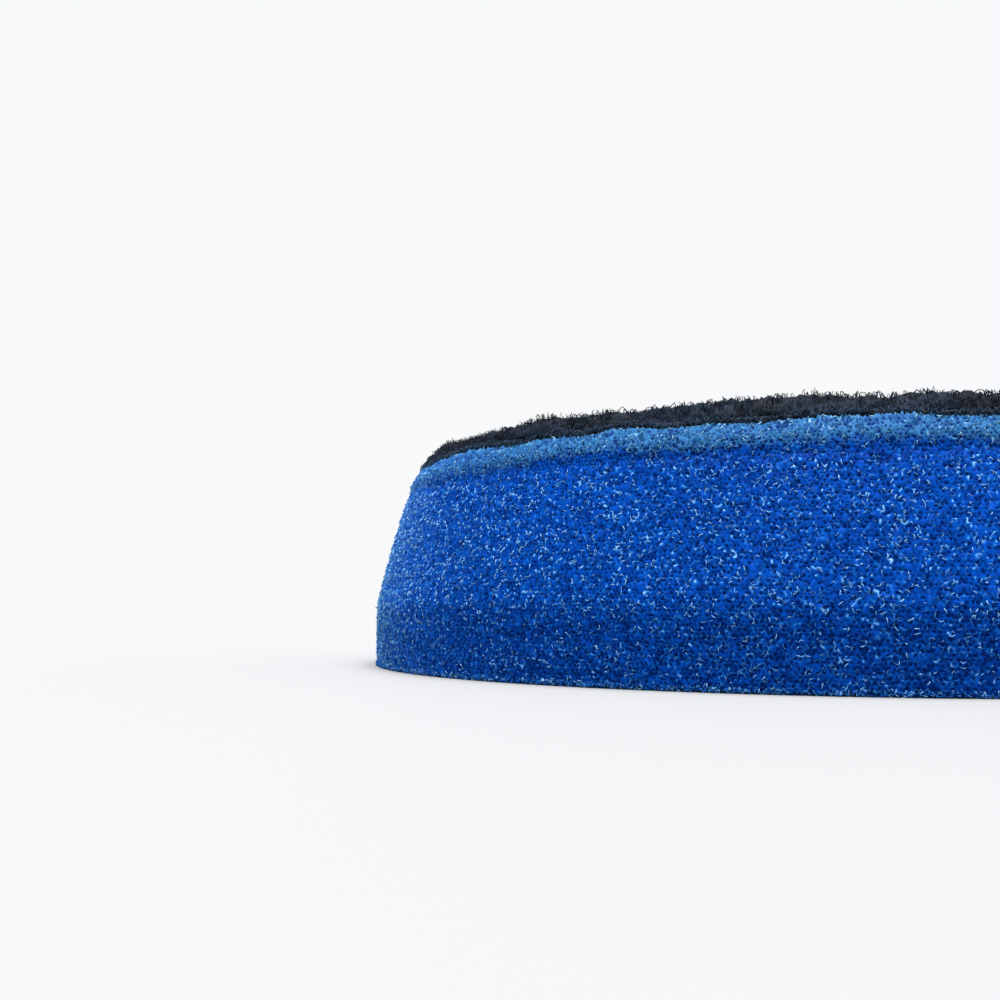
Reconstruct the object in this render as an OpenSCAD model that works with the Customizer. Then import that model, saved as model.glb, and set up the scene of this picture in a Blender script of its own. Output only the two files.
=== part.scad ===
// Round foam polishing pad for a car polisher, lying on its working face.
// A contour-cut foam disc carries a hot-melt film, a knitted ground cloth and the
// brushed loop pile that grips the hooks of the machine's backing plate.
// The origin is the centre of the working face and +Z points to the machine.

/* [Foam disc] */
// Diameter of the working face, the widest part of the pad
working_d = 150; // [140:1:180]
// Diameter of the foam's upper face, which the backing covers
upper_d = 137; // [125:1:138]
// Thickness of the foam
foam_h = 30; // [20:1:40]
// Height of the upright cut edge above the working face
land_h = 9.5; // [5:0.5:12]
// How far the tapered flank bows out between the edge and the shoulder
flank_crown = 0.2; // [0:0.05:0.5]

/* [Shoulder] */
// Height of the rolled shoulder under the backing
shoulder_h = 3; // [1.5:0.5:5]
// How far the shoulder runs inwards over that height
shoulder_in = 1.6; // [0.8:0.1:2.4]
// How far the shoulder bows out from a straight bevel
shoulder_crown = 0.35; // [0:0.05:0.6]

/* [Backing] */
// Thickness of the hot-melt film that bonds the cloth to the foam
film_h = 0.2; // [0.1:0.05:0.5]
// How far the film stops short of the cloth's cut edge
film_inset = 0.5; // [0.2:0.1:1.5]
// Thickness of the knitted ground cloth
ground_h = 0.5; // [0.3:0.1:1]
// Height of the brushed loop pile above the ground cloth
pile_h = 2.4; // [1.5:0.1:4]
// How far the pile's edge leans inwards over its height
pile_lean = 2.8; // [1:0.1:4]

/* [Hidden] */

working_r = working_d / 2;
upper_r = upper_d / 2;
shoulder_r = upper_r + shoulder_in;
shoulder_z = foam_h - shoulder_h;
film_r = upper_r - film_inset;
ground_z = foam_h + film_h;
pile_z = ground_z + ground_h;
pile_top_z = pile_z + pile_h;

FLANK_STEPS = 8;
SHOULDER_STEPS = 5;
PILE_STEPS = 6;
QUARTER = 90;
HALF_TURN = 180;
ROUND = 128;

// A straight run from one [radius, height] to another, bowed outwards like half a
// sine wave by crown, as its points without the last one.
function bowed(start, end, crown, steps) = [
    for (i = [0 : steps - 1])
        let (u = i / steps)
            start + u * (end - start) + [crown * sin(HALF_TURN * u), 0]
];

// Foam disc: a flat working face, an upright edge, a bowed flank tapering upwards
// and a rolled shoulder, cut in one piece from open-cell polyurethane foam.
module foam_body() {
    color("royalblue")
    rotate_extrude($fn = ROUND)
    polygon(concat(
        [[0, 0], [working_r, 0]],
        bowed([working_r, land_h], [shoulder_r, shoulder_z], flank_crown, FLANK_STEPS),
        bowed([shoulder_r, shoulder_z], [upper_r, foam_h], shoulder_crown, SHOULDER_STEPS),
        [[upper_r, foam_h], [0, foam_h]]
    ));
}

// Hot-melt film, hidden between the foam and the cloth.
module adhesive_film() {
    color("lightsteelblue")
    translate([0, 0, foam_h])
    cylinder(r = film_r, h = film_h, $fn = ROUND);
}

// Knitted nylon ground cloth, as wide as the foam's upper face.
module backing_cloth() {
    color("black")
    translate([0, 0, ground_z])
    cylinder(r = upper_r, h = ground_h, $fn = ROUND);
}

// Brushed loop pile: its edge rolls over like a quarter of an ellipse.
module loop_pile() {
    color("dimgray")
    rotate_extrude($fn = ROUND)
    polygon(concat(
        [[0, pile_z]],
        [
            for (i = [0 : PILE_STEPS])
                let (a = QUARTER * i / PILE_STEPS)
                    [upper_r - pile_lean * (1 - cos(a)), pile_z + pile_h * sin(a)]
        ],
        [[0, pile_top_z]]
    ));
}

foam_body();
adhesive_film();
backing_cloth();
loop_pile();
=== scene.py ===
"""Looks of the foam polishing pad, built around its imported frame.

The pad is a laminate that lies on its working face: a blue open-cell foam disc, a
hot-melt film, a knitted ground cloth and a pile of brushed nylon loops. Each piece has
a section of its own, in the order in which a pad is put together. Lengths are metres.
"""

import bpy
import numpy as np
from mathutils import Matrix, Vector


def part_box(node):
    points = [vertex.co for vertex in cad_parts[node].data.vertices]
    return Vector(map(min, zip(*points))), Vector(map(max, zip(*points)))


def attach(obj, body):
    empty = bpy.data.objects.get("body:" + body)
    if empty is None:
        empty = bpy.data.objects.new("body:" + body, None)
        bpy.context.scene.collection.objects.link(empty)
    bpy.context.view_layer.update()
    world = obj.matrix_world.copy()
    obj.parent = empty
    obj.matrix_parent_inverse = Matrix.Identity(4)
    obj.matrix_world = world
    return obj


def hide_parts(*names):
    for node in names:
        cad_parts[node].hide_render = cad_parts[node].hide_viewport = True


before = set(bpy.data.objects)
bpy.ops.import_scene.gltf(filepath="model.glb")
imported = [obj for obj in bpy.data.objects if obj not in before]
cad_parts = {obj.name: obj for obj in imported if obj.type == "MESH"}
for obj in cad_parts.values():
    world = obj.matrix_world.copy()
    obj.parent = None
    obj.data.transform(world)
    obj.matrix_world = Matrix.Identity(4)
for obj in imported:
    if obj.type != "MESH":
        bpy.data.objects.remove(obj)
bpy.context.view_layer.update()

# ---------------------------------------------------------------------------
# Camera: a hand-held close-up from just above the bench, aimed a little to the left of
# the pad's axis and slightly upwards, so that the pad's left half fills the view.
# ---------------------------------------------------------------------------
MM = 0.001
camera_distance = 208.7 * MM
camera_height = 9.25 * MM
camera_turn, camera_rise, camera_roll = np.radians([15.46, 4.89, 0.2])
sensor_width, lens = 36.0, 44.5

camera = bpy.data.objects.new("camera", bpy.data.cameras.new("camera"))
bpy.context.scene.collection.objects.link(camera)
camera.data.sensor_width, camera.data.lens = sensor_width, lens
camera.data.clip_start, camera.data.clip_end = 5 * MM, 50.0
camera.matrix_world = (
    Matrix.Translation((0, -camera_distance, camera_height))
    @ Matrix.Rotation(camera_turn, 4, "Z")
    @ Matrix.Rotation(np.pi / 2 + camera_rise, 4, "X")
    @ Matrix.Rotation(camera_roll, 4, "Z")
)
bpy.context.scene.camera = camera

# ---------------------------------------------------------------------------
# Foam body: one disc of open-cell polyurethane foam, contour-cut to an upright edge, a bowed
# flank and a rolled shoulder. The cut opens every cell that it meets, so the surface is a net
# of small pits with cut struts standing out of it, and a low bead rises beside the cloth.
# ---------------------------------------------------------------------------
foam_low, foam_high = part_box("foam_body")
backing_low, backing_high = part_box("backing_cloth")
working_radius, foam_top = foam_high.x, foam_high.z
upper_radius = backing_high.x
land_height, flank_bow = 9.5 * MM, 0.2 * MM
shoulder_height, shoulder_run, shoulder_bow = 3.0 * MM, 1.6 * MM, 0.35 * MM
corner_softness, top_margin = 1.2 * MM, 1.5 * MM
crease_drop, crease_depth, crease_width = 0.6 * MM, 0.18 * MM, 0.7 * MM
cell_pitch, cell_jitter = 0.56 * MM, 0.38
corner_scatter, corner_rise, floor_drop = 0.085 * MM, 0.06 * MM, 0.34 * MM
tip_rise, tip_share, bright_share = 0.13 * MM, 0.10, 0.22
pit_sizes, tip_shine, bright_depth = (0.35, 1.4), (0.45, 1.0), 0.2
strut_count, strut_steps = 38000, 3
# of each strut, in millimetres: least and most, then the spread of its lean
strut_heights, strut_widths, strut_thicks = (0.05, 0.19), (0.26, 0.62), (0.038, 0.068)
strut_lean, strut_crimp, strut_sink = 0.13, 0.02 * MM, 0.03 * MM
strut_edge, strut_top_gap = 1.2 * MM, 0.1 * MM
fringe_count, fringe_dips = 3200, (0, 70)
fringe_heights, fringe_widths, fringe_thicks = (0.08, 0.30), (0.25, 0.60), (0.040, 0.075)
fringe_lean, fringe_crimp = 0.10, 0.03 * MM
fringe_reaches, fringe_levels = (-0.12, 0.04), (0.12, 0.60)
rim_reach, rim_raise, rim_ragged = 0.45 * MM, 0.08 * MM, 0.50 * MM
bead_height, bead_width = 0.32 * MM, 0.45 * MM
path_step = 0.05 * MM
swell_waves, period_range, hem_shift = 10, (9, 48), 0.7


def put_mesh(name, points, faces, **values):
    """A new object called name, at the origin. points is (n, 3), in metres, faces is
    (m, 3) or (m, 4) indices, anticlockwise from outside, and each of values is one
    number per point, kept as an attribute that a material can read."""
    mesh = bpy.data.meshes.new(name)
    sides = faces.shape[1]
    mesh.vertices.add(len(points))
    mesh.vertices.foreach_set("co", np.asarray(points, np.float32).ravel())
    mesh.loops.add(faces.size)
    mesh.loops.foreach_set("vertex_index", np.asarray(faces, np.int32).ravel())
    mesh.polygons.add(len(faces))
    mesh.polygons.foreach_set("loop_start", np.arange(0, faces.size, sides, dtype=np.int32))
    mesh.update(calc_edges=True)
    mesh.polygons.foreach_set("use_smooth", np.ones(len(faces), bool))
    for key, numbers in values.items():
        layer = mesh.attributes.new(key, "FLOAT", "POINT")
        layer.data.foreach_set("value", np.asarray(numbers, np.float32))
    piece = bpy.data.objects.new(name, mesh)
    bpy.context.scene.collection.objects.link(piece)
    return piece


def ring_lattice(rings):
    """A triangular lattice laid out in rings round a centre: ring k has 6 k places. The
    places of a hexagon with axial coordinates (q, r) are sent to a disc, where ring k is
    the largest of |q|, |r| and |q + r|, and its places are equal steps of angle.
    Returns each place's ring, its angle, and the triangles, anticlockwise."""
    span = np.arange(-rings, rings + 1)
    q, r = (a.ravel() for a in np.meshgrid(span, span, indexing="ij"))
    ring = np.maximum(np.maximum(abs(q), abs(r)), abs(q + r))
    inside = ring <= rings
    number = np.full(q.size, -1)
    number[inside] = np.arange(inside.sum())
    low = (r < 0) | ((r == 0) & (q < 0))
    a, b = np.where(low, -q, q), np.where(low, -r, r)
    k = np.maximum(ring, 1)
    turn = np.where(a >= 0, b / k, np.where(b == k, 1 - a / k, 2 + (k - b) / k))
    angle = (turn + 3 * low) * np.pi / 3
    side = len(span)
    here = np.arange(q.size).reshape(side, side)
    east, north = here[1:, :-1].ravel(), here[:-1, 1:].ravel()
    first = np.stack([here[:-1, :-1].ravel(), east, north], 1)
    second = np.stack([east, here[1:, 1:].ravel(), north], 1)
    triangles = number[np.concatenate([first, second])]
    return ring[inside], angle[inside], triangles[(triangles >= 0).all(1)]


def bowed(start, end, bow, steps):
    """Points from start to end in the (radius, height) plane: the straight line, pushed
    outwards by bow times half a sine wave."""
    u = np.linspace(0, 1, steps)[:, None]
    line = np.asarray(start) * (1 - u) + np.asarray(end) * u
    return line + np.hstack([bow * np.sin(np.pi * u), 0 * u])


def softened(path, width):
    """The same (radius, height) path with even steps and its inner corners rounded: a
    running mean over width, with both ends carried on straight so that they stay put."""
    length = np.r_[0, np.cumsum(np.hypot(*np.diff(path, axis=0).T))]
    steps = int(length[-1] / path_step)
    even = np.linspace(0, length[-1], steps)
    path = np.stack([np.interp(even, length, path[:, i]) for i in (0, 1)], 1)
    half = int(width / path_step / 2)
    ahead = np.arange(1, half + 1)[:, None]
    before = path[0] - ahead[::-1] * (path[1] - path[0])
    after = path[-1] + ahead * (path[-1] - path[-2])
    longer = np.vstack([before, path, after])
    kernel = np.full(2 * half + 1, 1 / (2 * half + 1))
    return np.stack([np.convolve(longer[:, i], kernel, "valid") for i in (0, 1)], 1)


def path_normals(path):
    """Unit normals of a (radius, height) path, to its right as it is walked upwards."""
    along = np.gradient(path, axis=0)
    return np.stack([along[:, 1], -along[:, 0]], 1) / np.hypot(*along.T)[:, None]


def open_cells(centres, normals, triangles, cells, rng):
    """Turns a triangulated surface into cut foam. Every lattice place in cells becomes a
    pit: its corners are the middles of the triangles round it, moved a little at random,
    and its floor is the place itself, sunk by floor_drop times a random size. Returns
    points, triangles, each point's depth, from 0 on a rim to 1 on the deepest floor, the
    numbers of the corners past the last cells, and every corner with its normal."""
    places, count = len(centres), len(triangles)
    corner_normal = normals[triangles].mean(1)
    aside = rng.normal(0, corner_scatter, (count, 3))
    aside -= corner_normal * (aside * corner_normal).sum(1, keepdims=True)
    lift = rng.normal(0, corner_rise, count) + tip_rise * (rng.random(count) < tip_share)
    corners = centres[triangles].mean(1) + aside + corner_normal * lift[:, None]
    size = rng.uniform(*pit_sizes, places)
    floors = centres - normals * (floor_drop * size)[:, None]
    # each lattice edge once each way: its two ends, and the triangle that it belongs to
    ends = np.concatenate([triangles[:, [i, (i + 1) % 3]] for i in range(3)]).astype(np.int64)
    owner = np.tile(np.arange(count), 3)
    key, back = ends @ [places, 1], ends @ [1, places]
    order = np.argsort(key)
    inner = cells[ends[:, 0]]
    found = order[np.searchsorted(key, back[inner], sorter=order)]
    after, before = owner[inner] + places, owner[found] + places
    faces = np.stack([ends[inner, 0], before, after], 1)
    past = np.where((~cells[triangles]).any(1))[0] + places
    past = past[np.isin(past, faces)]
    depth = np.r_[size / size.max(), np.clip(-lift / floor_drop, 0, 1)]
    used, faces = np.unique(np.r_[faces.ravel(), past], return_inverse=True)
    faces, past = faces[: -len(past)].reshape(-1, 3), faces[-len(past):]
    return np.vstack([floors, corners])[used], faces, depth[used], past, corners, corner_normal


def arches(roots, up, along, height, width, lean, thick, crimp, steps, rng):
    """Many thin closed tubes, one over each root. Each runs over u from 0 to 1 along
    root + width (u - 1/2) along + height sin(pi u)^0.7 up + lean sin(pi u) side, where
    side is square to both, with a random crimp in the middle. It carries a triangle of
    points, thick away from the line, at each of its steps. Returns points, triangles."""
    count, sides = len(roots), 3
    side = np.cross(up, along)[:, None]
    u = np.linspace(0.0, 1.0, steps)[None, :, None]
    arch = np.sin(np.pi * u)
    line = roots[:, None] + width[:, None, None] * (u - 0.5) * along[:, None]
    line = line + height[:, None, None] * np.maximum(arch, 0) ** 0.7 * up[:, None]
    line = line + lean[:, None, None] * arch * side
    line = line + rng.normal(0, crimp, (count, steps, 3)) * arch
    tangent = np.gradient(line, axis=1)
    tangent /= np.linalg.norm(tangent, axis=2, keepdims=True)
    first = np.cross(tangent, side)
    first /= np.maximum(np.linalg.norm(first, axis=2, keepdims=True), 1e-9)
    second = np.cross(tangent, first)
    turn = (np.arange(sides) * 2 * np.pi / sides)[None, None, :, None]
    ring = np.cos(turn) * first[:, :, None] + np.sin(turn) * second[:, :, None]
    points = line[:, :, None] + thick[:, None, None, None] * ring
    here = np.arange(steps * sides).reshape(steps, sides)
    low, high = here[:-1], here[1:]
    low_next, high_next = np.roll(low, -1, 1), np.roll(high, -1, 1)
    one = np.vstack([
        np.stack([low, low_next, high_next], 2).reshape(-1, 3),
        np.stack([low, high_next, high], 2).reshape(-1, 3),
        here[0][::-1][None], here[-1][None],
    ])
    faces = one[None] + (np.arange(count) * steps * sides)[:, None, None]
    return points.reshape(-1, 3), faces.reshape(-1, 3)


foam_rng = np.random.default_rng(11)
swell_periods = foam_rng.integers(*period_range, (swell_waves, 1))
swell_phase = foam_rng.uniform(0, 2 * np.pi, (swell_waves, 1))


def swell(angle):
    """How the pad's upper rim rises and sags all round: ten sine waves with whole numbers
    of periods and random phases, scaled so that the sum rarely passes -1 or 1."""
    return np.sin(swell_periods * angle + swell_phase).sum(0) / 4


rings = round(2 * np.pi * working_radius / cell_pitch / 6)
around = 6 * rings
disc_ring, disc_angle, disc_triangles = ring_lattice(rings)
flank_start = (working_radius, land_height)
shoulder_start = (upper_radius + shoulder_run, foam_top - shoulder_height)
profile = softened(np.vstack([
    [[working_radius, 0], flank_start],
    bowed(flank_start, shoulder_start, flank_bow, 30)[1:],
    bowed(shoulder_start, (upper_radius, foam_top), shoulder_bow, 12)[1:],
    [[upper_radius - top_margin, foam_top]],
]), corner_softness)
crease_height = foam_top - shoulder_height - crease_drop
profile[:, 0] -= crease_depth * np.exp(-(((profile[:, 1] - crease_height) / crease_width) ** 2))
profile_normal = path_normals(profile)
rows = round(len(profile) * path_step / (cell_pitch * np.sqrt(3) / 2))


def foam_surface(radial, angle, jitter):
    """Points and outward normals of the foam's surface. radial runs from 0 at the middle of
    the working face to 1 at its edge, then from 1 to 2 up the profile to the top.
    jitter moves each place by that many cell pitches along and across."""
    radial = radial + jitter[0] * np.where(radial > 1, 1 / rows, 1 / rings)
    rise = np.clip(radial - 1, 0, 1) * (len(profile) - 1)
    step, on_wall = np.arange(len(profile)), radial > 1
    radius = np.where(on_wall, np.interp(rise, step, profile[:, 0]), radial * working_radius)
    height = np.where(on_wall, np.interp(rise, step, profile[:, 1]), 0)
    out = np.where(on_wall, np.interp(rise, step, profile_normal[:, 0]), 0)
    up = np.where(on_wall, np.interp(rise, step, profile_normal[:, 1]), -1)
    angle = angle + jitter[1] * cell_pitch / np.maximum(radius, cell_pitch)
    c, s = np.cos(angle), np.sin(angle)
    return np.stack([radius * c, radius * s, height], 1), np.stack([out * c, out * s, up], 1)


wall_row, wall_column = np.divmod(np.arange(rows * around), around)
wall_angle = (wall_column + 0.5 * ((wall_row + 1) % 2)) * 2 * np.pi / around
radial = np.r_[disc_ring / rings, 1 + (wall_row + 1) / rows]
angle = np.r_[disc_angle, wall_angle]
jitter = foam_rng.uniform(-cell_jitter, cell_jitter, (2, len(radial)))
is_edge = np.r_[disc_ring == rings, np.zeros(rows * around, bool)]
jitter[0, is_edge] = 0
jitter[0, -around:] = 0
centres, normals = foam_surface(radial, angle, jitter)
outward = np.stack([np.cos(angle), np.sin(angle), 0 * angle], 1)
normals[is_edge] = (normals[is_edge] + outward[is_edge]) / np.sqrt(2)

edge_places = np.where(is_edge)[0]
edge_places = edge_places[np.argsort(angle[edge_places])]
grid = np.vstack([edge_places, len(disc_ring) + np.arange(rows * around).reshape(rows, around)])
here, there = grid[:-1], grid[1:]
here_next, there_next = np.roll(here, -1, 1), np.roll(there, -1, 1)
even = (np.arange(rows) % 2 == 0)[:, None]
upright = np.stack([here, here_next, np.where(even, there, there_next)], 2)
hanging = np.stack([np.where(even, here_next, here), there_next, there], 2)
lattice = np.vstack([disc_triangles[:, ::-1], upright.reshape(-1, 3), hanging.reshape(-1, 3)])
is_cell = np.ones(len(centres), bool)
is_cell[-around:] = False
points, faces, depth, top_loop, corners, corner_normal = open_cells(
    centres, normals, lattice, is_cell, foam_rng,
)
top_loop = top_loop[np.argsort(np.arctan2(points[top_loop, 1], points[top_loop, 0]))]
top_middle = np.full(len(top_loop), len(points))
faces = np.vstack([faces, np.stack([top_middle, top_loop, np.roll(top_loop, -1)], 1)])
points = np.vstack([points, [[0, 0, foam_top]]])
# a share of the corners near each rim get a shine, which the foam's finish paints as highlights
is_bright = (depth < bright_depth) & (foam_rng.random(len(depth)) < bright_share)
shine = np.r_[is_bright * foam_rng.uniform(*tip_shine, len(depth)), 0]

# the struts: one over each of many corners, on the flank and round the working face's edge
on_flank = np.hypot(corners[:, 0], corners[:, 1]) > working_radius - strut_edge
on_flank |= (corners[:, 2] > 0) & (corners[:, 2] < foam_top - strut_top_gap)
chosen = foam_rng.choice(np.where(on_flank)[0], strut_count, replace=False)
strut_up = corner_normal[chosen]
strut_up /= np.linalg.norm(strut_up, axis=1, keepdims=True)
strut_along = np.cross(strut_up, foam_rng.normal(0, 1, (strut_count, 3)))
strut_along /= np.linalg.norm(strut_along, axis=1, keepdims=True)
strut_points, strut_faces = arches(
    corners[chosen] - strut_up * strut_sink, strut_up, strut_along,
    foam_rng.uniform(*strut_heights, strut_count) * MM,
    foam_rng.uniform(*strut_widths, strut_count) * MM,
    foam_rng.normal(0, strut_lean, strut_count) * MM,
    foam_rng.uniform(*strut_thicks, strut_count) * MM,
    strut_crimp, strut_steps, foam_rng,
)
strut_shine = np.repeat(foam_rng.random(strut_count), len(strut_points) // strut_count)
faces = np.vstack([faces, strut_faces + len(points)])
points = np.vstack([points, strut_points])

# the working face's edge is ragged, and the bead rises beside the cloth
rim_gap = np.hypot(points[:, 0], points[:, 1]) - working_radius
near_rim = np.exp(-((rim_gap / rim_reach) ** 2)) * (points[:, 2] < rim_reach)
points[:, 2] += near_rim * (rim_raise + foam_rng.uniform(0, rim_ragged, len(points)))
bead_gap = np.hypot(points[:, 0], points[:, 1]) - upper_radius
bead_foot = np.clip((points[:, 2] - foam_top) / bead_width / 2 + 1, 0, 1)
bead = np.exp(-((bead_gap / bead_width) ** 2)) * bead_foot
bead_swell = swell(np.arctan2(points[:, 1], points[:, 0]) + hem_shift)
points[:, 2] += bead * bead_height * (1 + bead_swell)

# the fringe: cut struts that hang from the working face's edge, down to the bench
fringe_turn = foam_rng.uniform(0, 2 * np.pi, fringe_count)
fringe_out = np.stack([np.cos(fringe_turn), np.sin(fringe_turn), 0 * fringe_turn], 1)
fringe_round = np.stack([-np.sin(fringe_turn), np.cos(fringe_turn), 0 * fringe_turn], 1)
fringe_dip = np.radians(foam_rng.uniform(*fringe_dips, fringe_count))[:, None]
fringe_up = fringe_out * np.cos(fringe_dip) - [0, 0, 1] * np.sin(fringe_dip)
fringe_spin = foam_rng.uniform(0, 2 * np.pi, fringe_count)[:, None]
fringe_across = np.cross(fringe_up, fringe_round)
fringe_along = fringe_round * np.cos(fringe_spin) + fringe_across * np.sin(fringe_spin)
fringe_reach = working_radius + foam_rng.uniform(*fringe_reaches, fringe_count) * MM
fringe_roots = fringe_out * fringe_reach[:, None]
fringe_roots[:, 2] = foam_rng.uniform(*fringe_levels, fringe_count) * MM
fringe_points, fringe_faces = arches(
    fringe_roots, fringe_up, fringe_along,
    foam_rng.uniform(*fringe_heights, fringe_count) * MM,
    foam_rng.uniform(*fringe_widths, fringe_count) * MM,
    foam_rng.normal(0, fringe_lean, fringe_count) * MM,
    foam_rng.uniform(*fringe_thicks, fringe_count) * MM,
    fringe_crimp, strut_steps, foam_rng,
)
fringe_shine = np.repeat(foam_rng.random(fringe_count), len(fringe_points) // fringe_count)
faces = np.vstack([faces, fringe_faces + len(points)])
points = np.vstack([points, fringe_points])
points[:, 2] = np.maximum(points[:, 2], foam_low.z)
# the shine of corners, struts and fringe is painted as highlights by the foam's finish
foam = put_mesh(
    "foam_pad", points, faces,
    depth=np.r_[depth, 0, 0 * strut_shine, 0 * fringe_shine],
    shine=np.r_[shine, 0.15 + 0.85 * strut_shine, 0.25 + 0.65 * fringe_shine],
)


class Wire:
    """One output socket of a shader, so that shader maths reads as plain arithmetic.
    Each operator adds a Math node to the same finish."""

    def __init__(self, finish, socket):
        self.finish, self.socket = finish, socket

    def math(self, operation, *values):
        """The operation, done on the values in order."""
        return self.finish.add("ShaderNodeMath", {"operation": operation}, *values)

    def __add__(self, other):
        return self.math("ADD", self, other)

    def __sub__(self, other):
        return self.math("SUBTRACT", self, other)

    def __rsub__(self, other):
        return self.math("SUBTRACT", other, self)

    def __mul__(self, other):
        return self.math("MULTIPLY", self, other)

    __radd__, __rmul__ = __add__, __mul__

    def sine(self):
        """The sine of the number, taken as radians."""
        return self.math("SINE", self)

    def step(self, low, high):
        """0 below low, 1 above high, and a smooth rise between them."""
        settings = {"interpolation_type": "SMOOTHSTEP"}
        return self.finish.add("ShaderNodeMapRange", settings, self, low, high, 0.0, 1.0)


class Finish:
    """A material with one Principled shader, and the methods that add its nodes."""

    def __init__(self, name, constants):
        self.material = bpy.data.materials.new(name)
        self.material.use_nodes = True
        self.tree = self.material.node_tree
        self.shader = self.tree.nodes["Principled BSDF"]
        for label, value in constants.items():
            self.shader.inputs[label].default_value = value

    def add(self, kind, settings=None, *values, out=0, **named):
        """A node of that kind: settings first, then values or wires into its inputs, in
        order or by name. Returns the wire of its output out."""
        node = self.tree.nodes.new(kind)
        for key, value in (settings or {}).items():
            setattr(node, key, value)
        pairs = list(zip(node.inputs, values))
        pairs += [(node.inputs[key.replace("_", " ")], value) for key, value in named.items()]
        for socket, value in pairs:
            if isinstance(value, Wire):
                self.tree.links.new(value.socket, socket)
            else:
                socket.default_value = value
        return Wire(self, node.outputs[out])

    def place(self):
        """The point's place on the object, in metres."""
        return self.add("ShaderNodeTexCoord", out="Object")

    def axes(self):
        """The point's place as its three numbers, in millimetres."""
        scaled = self.add("ShaderNodeVectorMath", {"operation": "SCALE"}, self.place(), Scale=1 / MM)
        return [self.add("ShaderNodeSeparateXYZ", None, scaled, out=axis) for axis in "XYZ"]

    def noise(self, size, detail=2.0, roughness=0.5):
        """Soft noise from 0 to 1 whose lumps are about size metres across."""
        return self.add(
            "ShaderNodeTexNoise", None, self.place(), Scale=1 / size, Detail=detail, Roughness=roughness,
        )

    def attribute(self, name):
        """A number that the mesh keeps at each point."""
        return self.add("ShaderNodeAttribute", {"attribute_name": name}, out="Fac")

    def mix(self, share, first, second):
        """The colour first where share is 0, and second where it is 1."""
        node = self.tree.nodes.new("ShaderNodeMix")
        node.data_type = "RGBA"
        for number, value in ((0, share), (6, first), (7, second)):
            socket = node.inputs[number]
            if isinstance(value, Wire):
                self.tree.links.new(value.socket, socket)
            else:
                socket.default_value = value if np.isscalar(value) else (*value, 1.0)
        return Wire(self, node.outputs[2])

    def bump(self, height, strength, distance):
        """A normal pushed about by height, which is worth distance metres from 0 to 1."""
        return self.add("ShaderNodeBump", None, Strength=strength, Distance=distance, Height=height)

    def wear(self, piece, **wires):
        """Links each wire to the shader's input of that name, and puts the finish on."""
        for label, wire in wires.items():
            self.tree.links.new(wire.socket, self.shader.inputs[label.replace("_", " ").title()])
        piece.data.materials.clear()
        piece.data.materials.append(self.material)


# painted shade: this darkest blue is laid into the pit floors, the crease under the shoulder and the
# land, where shade falls
painted_shade_blue = (0.0001, 0.017, 0.140)
body_blue, dull_blue = (0.0005, 0.063, 0.410), (0.0004, 0.050, 0.330)
strut_blue, glint_blue = (0.003, 0.108, 0.460), (0.270, 0.580, 0.930)
# painted light: the shoulder band is coloured paler, as if it caught more light from above, with paler
# glints of its own
painted_light_blue, shoulder_glint = (0.026, 0.130, 0.312), (0.200, 0.440, 0.640)
# heights in millimetres, between which the painted light of the shoulder band, the painted shade in the
# crease and the painted shade on the land fade in
shoulder_foot, shoulder_full = 26.7, 27.9
crease_low, crease_high, land_low, land_high = 24.6, 26.4, 5.5, 12.5
band_light_fade_start, band_light_fade_full, band_light_fade_least = -60.0, -34.0, 0.45
clump_size, patch_size, pore_size = 1.3 * MM, 16.0 * MM, 0.16 * MM
pit_shade, clump_shade, crease_shade, land_shade = 1.7, 1.1, 0.20, 0.20

blue_foam = Finish("blue_open_cell_foam", {
    "Sheen Weight": 0.32, "Sheen Roughness": 0.20, "Sheen Tint": (0.40, 1.00, 0.92, 1.0),
    "Specular IOR Level": 0.02, "Coat Roughness": 0.25,
})
pit, shine = blue_foam.attribute("depth"), blue_foam.attribute("shine")
clumps = blue_foam.noise(clump_size)
patches = blue_foam.noise(patch_size)
side, _, height = blue_foam.axes()
ragged = height + (clumps - 0.5) * 3.0 + (patches - 0.5) * 2.4
# painted light on the shoulder band, made weaker towards the pad's -X side
band_light_fade = band_light_fade_least + (1 - band_light_fade_least) * side.step(band_light_fade_start, band_light_fade_full)
painted_light_band = ragged.step(shoulder_foot, shoulder_full) * band_light_fade
# painted shade in the crease under the shoulder band
crease = height.step(crease_low, crease_high) * (1 - painted_light_band)
# painted shade on the land, the upright edge by the bench
land = 1 - height.step(land_low, land_high)
# painted shade that deepens towards each pit's floor, with random clumps of tone on top
shade = pit * pit_shade + (clumps - 0.5) * clump_shade
shade = (shade + crease * crease_shade + land * land_shade).step(0.0, 1.0)
body = blue_foam.mix(patches.step(0.3, 0.7) * 0.7, body_blue, dull_blue)
colour = blue_foam.mix(shade, blue_foam.mix(painted_light_band, body, painted_light_blue), painted_shade_blue)
# painted highlights: struts and shining corners are coloured lighter, the most shining ones pale, beside
# the coat's real gloss; they are dimmed in the crease and on the land as painted shade
gleam = shine * (1 - land * 0.15 - crease * 0.2)
strut_colour = blue_foam.mix(painted_light_band, strut_blue, painted_light_blue)
colour = blue_foam.mix(gleam.step(0.0, 0.7), colour, strut_colour)
glints = (gleam + (clumps - 0.5) * 0.5).step(0.50, 1.00)
blue_foam.wear(
    foam,
    base_color=blue_foam.mix(glints, colour, blue_foam.mix(painted_light_band, glint_blue, shoulder_glint)),
    roughness=0.40 + pit * 0.3,
    coat_weight=glints * 0.70,
    normal=blue_foam.bump(blue_foam.noise(pore_size, 1.0), 0.4, 0.05 * MM),
)
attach(foam, "root")
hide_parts("foam_body")

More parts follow.
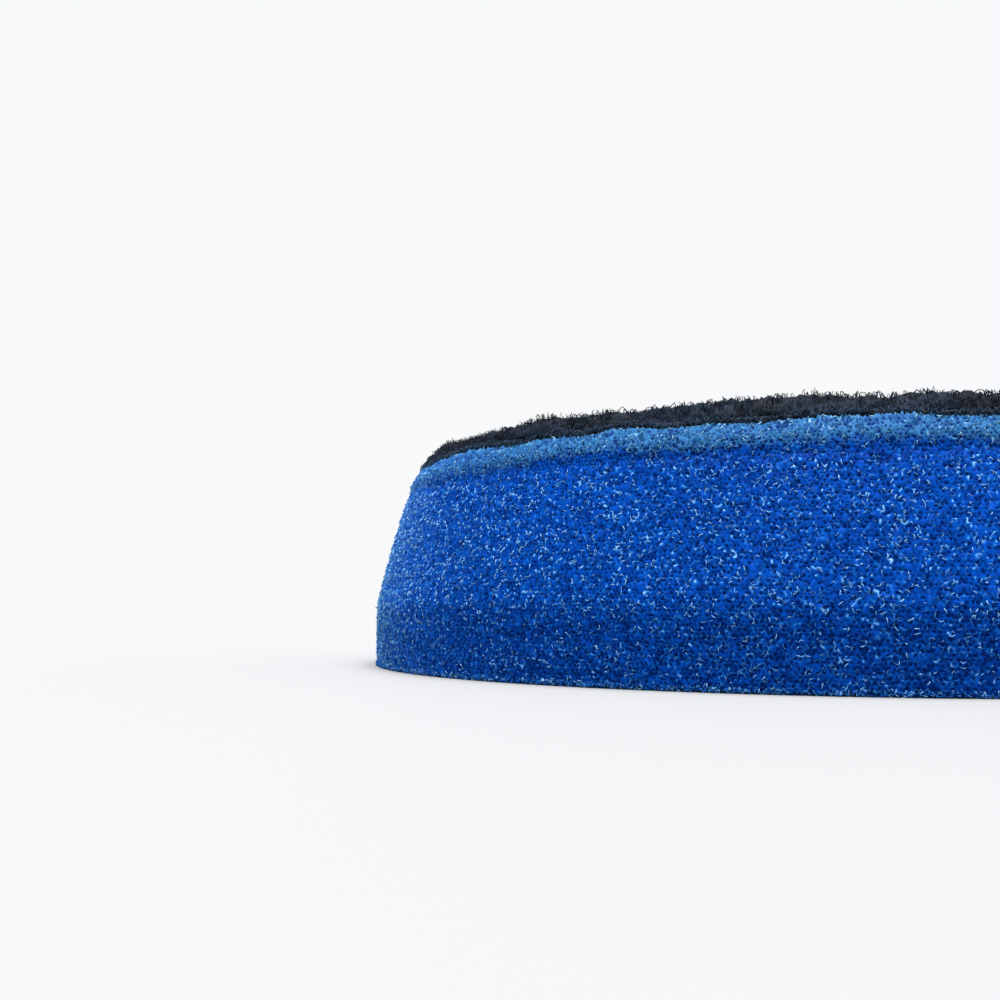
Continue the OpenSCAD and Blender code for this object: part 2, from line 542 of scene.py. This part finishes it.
# ---------------------------------------------------------------------------
# Hot-melt film: a thin web of adhesive, ironed between the foam and the cloth. It soaks
# into both and takes the blue of the foam, and it ends flush with the cloth's cut edge.
# ---------------------------------------------------------------------------
film_blue, film_black = (0.010, 0.050, 0.120), (0.012, 0.016, 0.024)
soak_size, web_size = 2.5 * MM, 0.5 * MM
hot_melt = Finish("hot_melt_film", {"IOR": 1.5, "Specular IOR Level": 0.3})
soaked = hot_melt.noise(soak_size, 3.0, 0.6).step(0.4, 0.6)
hot_melt.wear(
    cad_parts["adhesive_film"],
    base_color=hot_melt.mix(soaked, film_blue, film_black),
    roughness=0.35 + soaked * 0.3,
    normal=hot_melt.bump(hot_melt.noise(web_size), 0.4, 0.05 * MM),
)

# ---------------------------------------------------------------------------
# Backing cloth: the knitted nylon ground of the loop cloth, die-cut to the foam's upper
# face and ironed onto the film. Its cut edge is frayed and hides under the pile's rim.
# ---------------------------------------------------------------------------
cloth_rings, cloth_dimple = 44, 0.04 * MM
cloth_edge_inset, cloth_edge_fray = 0.55 * MM, 0.05 * MM


def round_sheet(name, rings, radius, low, high, rim_shift, lift):
    """A closed round sheet. Its top and bottom are ring lattices between the heights low
    and high, pushed up by lift, one number per place. Its rim is moved outwards by
    rim_shift, one number per place of the last ring, and joined by a band of quads."""
    ring, angle, triangles = ring_lattice(rings)
    reach = ring / rings * radius
    rim = np.where(ring == rings)[0]
    rim = rim[np.argsort(angle[rim])]
    reach[rim] += rim_shift
    flat = np.stack([reach * np.cos(angle), reach * np.sin(angle)], 1)
    top = np.hstack([flat, (high + lift)[:, None]])
    bottom = np.hstack([flat, np.full((len(flat), 1), low)])
    rim_next = np.roll(rim, -1)
    below, below_next = rim + len(flat), rim_next + len(flat)
    faces = np.vstack([
        triangles,
        triangles[:, ::-1] + len(flat),
        np.stack([below, below_next, rim_next], 1),
        np.stack([below, rim_next, rim], 1),
    ])
    return put_mesh(name, np.vstack([top, bottom]), faces)


cloth_rng = np.random.default_rng(23)
cloth = round_sheet(
    "knitted_backing", cloth_rings, upper_radius, backing_low.z, backing_high.z,
    cloth_rng.normal(-cloth_edge_inset, cloth_edge_fray, 6 * cloth_rings),
    cloth_rng.uniform(-1.0, 0.0, 3 * cloth_rings * (cloth_rings + 1) + 1) * cloth_dimple,
)
wale, course, filament = 1.0 * MM, 0.7 * MM, 0.2 * MM
knit_dark, knit_pale = (0.004, 0.007, 0.012), (0.012, 0.019, 0.030)
knit = Finish("knitted_nylon", {"Sheen Weight": 0.02, "Specular IOR Level": 0.10})
across, along, _ = knit.axes()
ribs = (across * (2 * np.pi * MM / wale)).sine()
rows_of_knit = (along * (2 * np.pi * MM / course)).sine()
yarn = (ribs * 0.5 + rows_of_knit * 0.3 + knit.noise(filament)) * 0.5
knit.wear(
    cloth,
    base_color=knit.mix(yarn.step(0.0, 1.0), knit_dark, knit_pale),
    roughness=0.55 + yarn * 0.2,
    normal=knit.bump(yarn, 0.6, 0.12 * MM),
)
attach(cloth, "root")
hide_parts("backing_cloth")

# ---------------------------------------------------------------------------
# Loop pile: nylon loops knitted through the ground cloth and brushed. Lower down they are
# matted into a felt, and the loop tips stand out of it for the machine's hooks. At the
# pad's rim the loops lean out and hang over the cut edge.
# ---------------------------------------------------------------------------
pile_low, pile_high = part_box("loop_pile")
pile_height = pile_high.z - pile_low.z
pile_lean = 2.8 * MM
felt_share, felt_inset = 0.95, 0.60 * MM
felt_rings, felt_rim_rings = 90, 7
felt_lump, pile_swell, pile_slope = 0.21 * MM, 0.38 * MM, 1.6
sectors, loop_steps, root_depth = 6, 5, 0.85
field_loops, rim_loops, hem_loops = 11400, 7800, 5400
# of each loop, in millimetres: least and most, then the spread of its lean
loop_widths, loop_thicks, loop_lean, loop_crimp = (0.45, 1.05), (0.038, 0.062), 0.24, 0.11 * MM
loop_stretch, hem_drops, hem_sag = (0.5, 1.3), (-0.30, 0.15), 0.28
field_tall, rim_tall, hem_tall, rim_wave, hem_wave = 0.80, 0.86, 0.60, 0.15, 0.18
# how the field, the rim and the hem differ in width, thickness and shade; the hem's higher shade is
# painted light
width_shares, thick_shares = [1.6, 0.7, 0.8], [1.4, 0.80, 1.0]
least_shades, shade_spreads = [0.40, 0.38, 1.05], [0.35, 0.20, 0.45]

pile_rng = np.random.default_rng(37)
ring, angle, triangles = ring_lattice(felt_rings)
felt_rim = felt_rings - felt_rim_rings
bend = np.clip((ring - felt_rim) / felt_rim_rings, 0, 1) * np.pi / 2
felt_flat = upper_radius - felt_inset - pile_lean
felt_height = felt_share * pile_height
inner = (ring < felt_rings) & (ring > 0)
lump = pile_rng.normal(0, felt_lump, len(ring)) * inner
lump = lump + swell(angle) * pile_swell * (ring / felt_rings) ** 4
rounded = felt_flat + pile_lean * np.sin(bend) ** pile_slope
reach = np.where(ring <= felt_rim, ring / felt_rim * felt_flat, rounded)
reach = reach + lump * np.sin(bend) * inner
rise = felt_height * np.cos(bend) ** pile_slope + lump * np.cos(bend)
turn = angle + pile_rng.uniform(-0.3, 0.3, len(ring)) * inner / np.maximum(ring, 1)
felt_points = np.stack([reach * np.cos(turn), reach * np.sin(turn), pile_low.z + rise], 1)
rim = np.where(ring == felt_rings)[0]
rim = rim[np.argsort(angle[rim])]
middle = np.full(len(rim), len(felt_points))
felt_points = np.vstack([felt_points, [[0, 0, pile_low.z]]])
triangles = np.vstack([triangles, np.stack([middle, np.roll(rim, -1), rim], 1)])
# painted light: the felt is coloured lighter towards its rounded rim
felt = put_mesh("matted_felt", felt_points, triangles, shade=np.r_[0.44 * np.sin(bend), 0])

nylon = Finish("brushed_nylon_loops", {
    "Roughness": 0.65, "Sheen Weight": 0.04, "Sheen Roughness": 0.35,
    "Sheen Tint": (0.6, 0.75, 1.0, 1.0), "Specular IOR Level": 0.06,
})
nylon_dark, nylon_pale = (0.0016, 0.0032, 0.0060), (0.0108, 0.0230, 0.0475)
# painted light: the hem loops, which hang in shade under the pile's rim, are coloured paler
nylon_hem_light = (0.034, 0.062, 0.104)
fibre, strand, tuft, nap = 0.15 * MM, 1.1 * MM, 2.2 * MM, 9.0 * MM


def strands(across, along):
    """Streaky noise, across metres wide on X and along metres long on Y."""
    scale = (1 / across, 1 / along, 2 / (across + along))
    stretched = nylon.add("ShaderNodeVectorMath", {"operation": "MULTIPLY"}, nylon.place(), scale)
    return nylon.add("ShaderNodeTexNoise", None, stretched, Scale=1.0, Detail=2.0, Distortion=0.8)


brushed = nylon.noise(nap).step(0.42, 0.58)
streaks = strands(fibre, strand) * brushed + strands(strand, fibre) * (1 - brushed)
tufts = nylon.noise(tuft)
nylon_shade = nylon.attribute("shade") * 0.8 + (streaks - 0.5) * 0.7 + (tufts - 0.5) * 0.6
nylon_shade = (nylon_shade + (brushed - 0.5) * 0.20 + 0.10).step(0.0, 1.0)
nylon_colour = nylon.mix(nylon_shade, nylon_dark, nylon_pale)
# loops whose shade passes 1, those of the hem, take the paler painted light colour
nylon_colour = nylon.mix(nylon.attribute("shade").step(1.0, 1.6), nylon_colour, nylon_hem_light)
nylon_normal = nylon.bump(streaks, 0.6, 0.08 * MM)


def fit_nylon(piece):
    """Puts the nylon finish on a piece of the pile, hangs it on the root body, and hides the plain pile
    part.
    """
    nylon.wear(piece, base_color=nylon_colour, normal=nylon_normal)
    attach(piece, "root")
    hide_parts("loop_pile")


fit_nylon(felt)
for sector in range(sectors):
    # three kinds: the field, on the flat; the rim, on the rounded edge; the hem, below it
    kind = np.repeat([0, 1, 2], [field_loops // sectors, rim_loops // sectors, hem_loops // sectors])
    count = len(kind)
    angle = (sector + pile_rng.random(count)) * 2 * np.pi / sectors
    spread = pile_rng.random(count)
    wave, sag = swell(angle), swell(angle + hem_shift)
    bend = np.choose(kind, [0 * spread, 0.1 + 1.3 * spread, 0 * spread + np.pi / 2])
    tilt = np.choose(kind, [0 * spread, bend * 0.5, np.radians(95 + 38 * spread)])
    rounded = felt_flat + pile_lean * np.sin(bend) ** pile_slope
    reach = np.where(kind > 0, rounded, np.sqrt(spread) * felt_flat)
    swollen = felt_height + wave * pile_swell * (kind > 0)
    swollen = swollen * np.cos(bend) ** pile_slope * root_depth
    drop = np.where(kind == 2, (pile_rng.uniform(*hem_drops, count) + hem_sag * sag) * MM, 0)
    out = np.stack([np.cos(angle), np.sin(angle), 0 * angle], 1)
    round_rim = np.stack([-np.sin(angle), np.cos(angle), 0 * angle], 1)
    straight_up = np.tile([0.0, 0.0, 1.0], (count, 1))
    roots = out * reach[:, None] + straight_up * (pile_low.z + swollen + drop)[:, None]
    up = straight_up * np.cos(tilt)[:, None] + out * np.sin(tilt)[:, None]
    flat_out = out * np.cos(tilt)[:, None] - straight_up * np.sin(tilt)[:, None]
    spin = pile_rng.uniform(0, 2 * np.pi, count)
    along = round_rim * np.cos(spin)[:, None] + flat_out * np.sin(spin)[:, None]
    rim_height = (rim_tall + rim_wave * wave) * (1 - 0.5 * spread)
    tall = np.choose(kind, [field_tall + 0 * wave, rim_height, hem_tall - hem_wave * sag]) * MM
    loop_points, loop_faces = arches(
        roots, up, along,
        tall * pile_rng.uniform(*loop_stretch, count),
        pile_rng.uniform(*loop_widths, count) * np.choose(kind, width_shares) * MM,
        pile_rng.normal(0, loop_lean, count) * MM,
        pile_rng.uniform(*loop_thicks, count) * np.choose(kind, thick_shares) * MM,
        loop_crimp, loop_steps, pile_rng,
    )
    shade = np.choose(kind, shade_spreads) * pile_rng.random(count)
    shade = np.choose(kind, least_shades) + shade
    loop_shade = np.repeat(shade, len(loop_points) // count)
    fit_nylon(put_mesh(f"loops_{sector + 1}", loop_points, loop_faces, shade=loop_shade))

# ---------------------------------------------------------------------------
# Studio: a plain floor that runs out to a pale surround of the same brightness, under
# one broad soft light high overhead.
# ---------------------------------------------------------------------------
floor_radius, floor_rings, floor_mottle = 6.0, 24, 0.4
floor_dark, floor_pale = (0.2895, 0.2913, 0.2938), (0.2935, 0.2953, 0.2978)
ring, angle, triangles = ring_lattice(floor_rings)
reach = ring / floor_rings * floor_radius
floor_points = np.stack([reach * np.cos(angle), reach * np.sin(angle), 0 * angle], 1)
floor = put_mesh("floor", floor_points, triangles)
plain_floor = Finish("plain_floor", {"Roughness": 0.7, "Specular IOR Level": 0.1})
plain_floor.wear(
    floor, base_color=plain_floor.mix(plain_floor.noise(floor_mottle), floor_dark, floor_pale),
)

world = bpy.data.worlds.new("studio")
bpy.context.scene.world = world
world.use_nodes = True
backdrop = world.node_tree.nodes["Background"]
backdrop.inputs["Color"].default_value = (0.935, 0.948, 0.965, 1.0)

overhead = bpy.data.objects.new("overhead_light", bpy.data.lights.new("overhead_light", "SUN"))
overhead.data.energy, overhead.data.angle = 7.0, np.radians(50)
overhead.rotation_euler = np.radians([3, 1, 0])
bpy.context.scene.collection.objects.link(overhead)
bpy.context.scene.view_settings.view_transform = "Standard"
